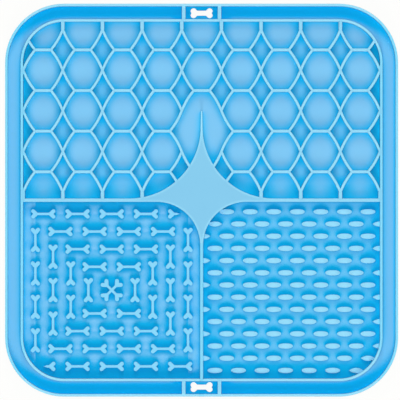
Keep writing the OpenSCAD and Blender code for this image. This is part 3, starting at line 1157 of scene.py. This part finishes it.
@dataclass
class SuctionCups:
    """Shallow cups under the floor, each turned from one section."""

    foot_r: float = 5 * MM
    lip_r: float = 9 * MM
    lip: float = 0.5 * MM
    hollow: float = 1.6 * MM
    root: float = 0.2 * MM
    seam: float = 0.001 * MM
    columns: int = 6
    hollow_steps: int = 6
    lip_steps: int = 3
    turn_steps: int = 32

    def section(self, height: float) -> list[Vector]:
        """Works out half of a cup's cross-section.

        Args:
            height: Height from the lip to the mat's floor.

        Returns:
            Points from the top of the hollow round the lip to the root, as radii and heights.
        """
        edge, bowl, root = self.lip / 2, self.lip_r - self.lip, height + self.root
        bowl_r = (bowl * bowl + self.hollow * self.hollow) / (2 * self.hollow)
        spread = math.degrees(math.asin(bowl / bowl_r))
        roof = arc(Vector((0, self.hollow - bowl_r)), bowl_r, 90, 90 - spread, self.hollow_steps)
        lip = arc(Vector((self.lip_r - edge, edge)), edge, 270, 360, self.lip_steps)[1:]
        outside = [(self.lip_r, self.lip), (self.foot_r, height), (self.foot_r, root), (0, root)]
        return [*roof, *lip, *map(Vector, outside)]

    def build(self, material: bpy.types.Material) -> bpy.types.Object:
        """Spins one cup and copies it to each place that the frame gives.

        Args:
            material: Finish of the cups.

        Returns:
            The cups as one piece.
        """
        low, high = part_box("suction_cups")
        mesh = bmesh.new()
        section = [mesh.verts.new((point.x, 0, low.z + point.y))
                   for point in self.section(high.z - low.z)]
        edges = [mesh.edges.new(pair) for pair in zip(section, section[1:])]
        bmesh.ops.spin(mesh, geom=[*section, *edges], cent=(0, 0, 0), axis=UP,
                       angle=2 * math.pi, steps=self.turn_steps, use_merge=True)
        bmesh.ops.remove_doubles(mesh, verts=mesh.verts, dist=self.seam)
        bmesh.ops.recalc_face_normals(mesh, faces=mesh.faces)
        one = [*mesh.verts, *mesh.edges, *mesh.faces]
        for place in self.places():
            copy = bmesh.ops.duplicate(mesh, geom=one)["geom"]
            moved = [item for item in copy if isinstance(item, bmesh.types.BMVert)]
            bmesh.ops.translate(mesh, verts=moved, vec=place)
        bmesh.ops.delete(mesh, geom=[item for item in one if isinstance(item, bmesh.types.BMVert)],
                         context="VERTS")
        return finish_piece(mesh, "moulded_cups", ["suction_cups"], material)

    def places(self) -> list[Vector]:
        """Finds the middle of each cup on the frame.

        Returns:
            The middles, at height 0.
        """
        low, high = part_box("suction_cups")
        pitch = (high.x - low.x - 2 * self.lip_r) / (self.columns - 1)
        first = low.x + self.lip_r
        return [Vector((first + column * pitch, first + row * pitch, 0))
                for column in range(self.columns) for row in range(self.columns)]


@dataclass(frozen=True)
class Lamp:
    """Soft lamp over the middle line that runs up the mat.

    The tilt, in degrees from straight above, is positive towards the mat's lower side. The level is the
    share of full light that the lamp gives the floor.
    """

    name: str
    tilt: float
    level: float
    length: float
    width: float = 0.3
    distance: float = 1.8

    def hang(self) -> bpy.types.Object:
        """Hangs the lamp so that it faces the mat's middle.

        Returns:
            The lamp.
        """
        light = bpy.data.lights.new(self.name, "AREA")
        light.shape = "RECTANGLE"
        light.size = self.width
        light.size_y = self.length
        turn = math.radians(self.tilt)
        light.energy = self.level * math.pi ** 2 * self.distance ** 2 / math.cos(turn)
        lamp = bpy.data.objects.new(self.name, light)
        lamp.location = (0, -self.distance * math.sin(turn), self.distance * math.cos(turn))
        lamp.rotation_euler = (turn, 0, 0)
        lamp.visible_camera = False
        bpy.context.scene.collection.objects.link(lamp)
        return lamp


@dataclass
class Studio:
    """Plain pale floor, soft lamps along the mat's length and the photograph's camera."""

    floor_half: float = 4.0
    floor_colour: Colour = (0.9, 0.9, 0.9)
    floor_glow: float = 0.94
    glow_colour: Colour = (1.0, 1.0, 0.985)
    fill: float = 0.36
    lamps: tuple[Lamp, ...] = (
        Lamp("lower_lamp", tilt=36.0, level=0.18, length=0.7),
        Lamp("upper_lamp", tilt=-36.0, level=0.13, length=0.7),
        Lamp("middle_lamp", tilt=0.0, level=0.33, length=0.3),
    )
    pixel: float = 0.509 * MM
    pixels: int = 400
    lens: float = 500.0
    view_end: float = 100.0
    aim: tuple[float, float] = (-0.81 * MM, 0.08 * MM)

    def floor(self) -> bpy.types.Object:
        """Lays the floor that the mat stands on.

        Returns:
            The floor.
        """
        mesh = bmesh.new()
        bmesh.ops.create_grid(mesh, x_segments=1, y_segments=1, size=self.floor_half)
        data = bpy.data.meshes.new("studio_floor")
        mesh.to_mesh(data)
        mesh.free()
        paper = bpy.data.materials.new("pale_paper")
        paper.use_nodes = True
        tree = paper.node_tree
        tree.nodes.clear()
        link = tree.links.new
        matt = add_node(tree, "BsdfDiffuse", Color=rgba(self.floor_colour))
        glow = add_node(tree, "Emission", Color=rgba(self.glow_colour), Strength=1.0)
        path = add_node(tree, "LightPath")
        both = add_node(tree, "MixShader")
        leave = add_node(tree, "OutputMaterial")
        link(calculate(tree, "MULTIPLY", path.outputs["Is Camera Ray"], self.floor_glow),
             both.inputs[0])
        link(matt.outputs[0], both.inputs[1])
        link(glow.outputs[0], both.inputs[2])
        link(both.outputs[0], leave.inputs["Surface"])
        data.materials.append(paper)
        piece = bpy.data.objects.new("studio_floor", data)
        bpy.context.scene.collection.objects.link(piece)
        return piece

    def world(self) -> None:
        """Gives the world its fill light and a white background."""
        world = bpy.data.worlds.new("studio_world")
        world.use_nodes = True
        tree = world.node_tree
        tree.nodes.clear()
        link = tree.links.new
        path = add_node(tree, "LightPath")
        level = add_node(tree, "MapRange", To_Min=self.fill, To_Max=1.0)
        sky = add_node(tree, "Background", Color=rgba(WHITE))
        leave = add_node(tree, "OutputWorld")
        link(path.outputs["Is Camera Ray"], level.inputs["Value"])
        link(level.outputs["Result"], sky.inputs["Strength"])
        link(sky.outputs[0], leave.inputs["Surface"])
        bpy.context.scene.world = world

    def camera(self, top: float) -> bpy.types.Object:
        """Sets the camera straight above the mat, at the photograph's scale.

        Args:
            top: Height of the mat's top, at which a pixel has its size.

        Returns:
            The camera.
        """
        data = bpy.data.cameras.new("photo_camera")
        data.lens = self.lens
        data.clip_end = self.view_end
        camera = bpy.data.objects.new("photo_camera", data)
        away = self.pixel * self.pixels * self.lens / data.sensor_width
        camera.location = (*self.aim, top + away)
        bpy.context.scene.collection.objects.link(camera)
        bpy.context.scene.camera = camera
        return camera

    def build(self, top: float) -> None:
        """Sets up floor, lamps, world and camera.

        Args:
            top: Height of the mat's top.
        """
        self.floor()
        for lamp in self.lamps:
            lamp.hang()
        self.world()
        self.camera(top)
        bpy.context.scene.view_settings.view_transform = "Standard"


@dataclass
class LickMat:
    """The whole mat."""

    silicone: SiliconeFinish = SiliconeFinish("blue_silicone")
    # The nubs' finishes paint a highlight on their crests.
    bone_silicone: SiliconeFinish = SiliconeFinish(
        "blue_silicone_bones", crest=1.0, highlight_from=6.2 * MM, highlight_to=7.2 * MM, pale=(0.26, 0.69, 0.95),
    )
    grain_silicone: SiliconeFinish = SiliconeFinish(
        "blue_silicone_grains", crest=1.0, highlight_from=6.2 * MM, highlight_to=7.2 * MM, pale=(0.32, 0.74, 0.97),
        crest_lean=0.15, tilted=0.5, level=0.96,
    )
    bone_edge: EdgeRound = EdgeRound(radius=0.2 * MM, steps=3)
    grain_edge: EdgeRound = EdgeRound(radius=0.35 * MM, steps=3, flat_ring=0.4 * MM, crown_rings=2,
                                      style=EdgeStyle.DRAWN_IN)

    def build(self) -> None:
        """Builds every stretch of the mat."""
        shared = SharedEffects.build()
        skin = self.silicone.material(shared)
        bone_skin = self.bone_silicone.material(shared)
        grain_skin = self.grain_silicone.material(shared)
        Rim.from_frame().build(skin)
        FloorSheet().build(skin)
        network = WallNetwork().build(skin)
        walls = bmesh.new()
        walls.from_mesh(network.data)
        search = BVHTree.FromBMesh(walls)
        walls.free()
        for nubs, nub_skin in (
            (NubField("level_bones", "bone_rows", self.bone_edge), bone_skin),
            (NubField("upright_bones", "bone_columns", self.bone_edge), bone_skin),
            (NubField("cut_bones", "half_bones", self.bone_edge), bone_skin),
            (NubField("bone_cross", "crossed_bones", self.bone_edge), bone_skin),
            (NubField("grains", "grain_nubs", self.grain_edge, oval_corners=20), grain_skin),
            (NubField("cut_grains", "wall_grain_nubs", self.grain_edge), grain_skin),
        ):
            nubs.build(nub_skin, search)
        SuctionCups().build(skin)


def main() -> None:
    """Builds the mat and its studio."""
    logging.basicConfig(level=logging.INFO, format="%(name)s: %(message)s")
    LickMat().build()
    Studio().build(CAD_BOX[1].z)


if __name__ == "__main__":
    main()
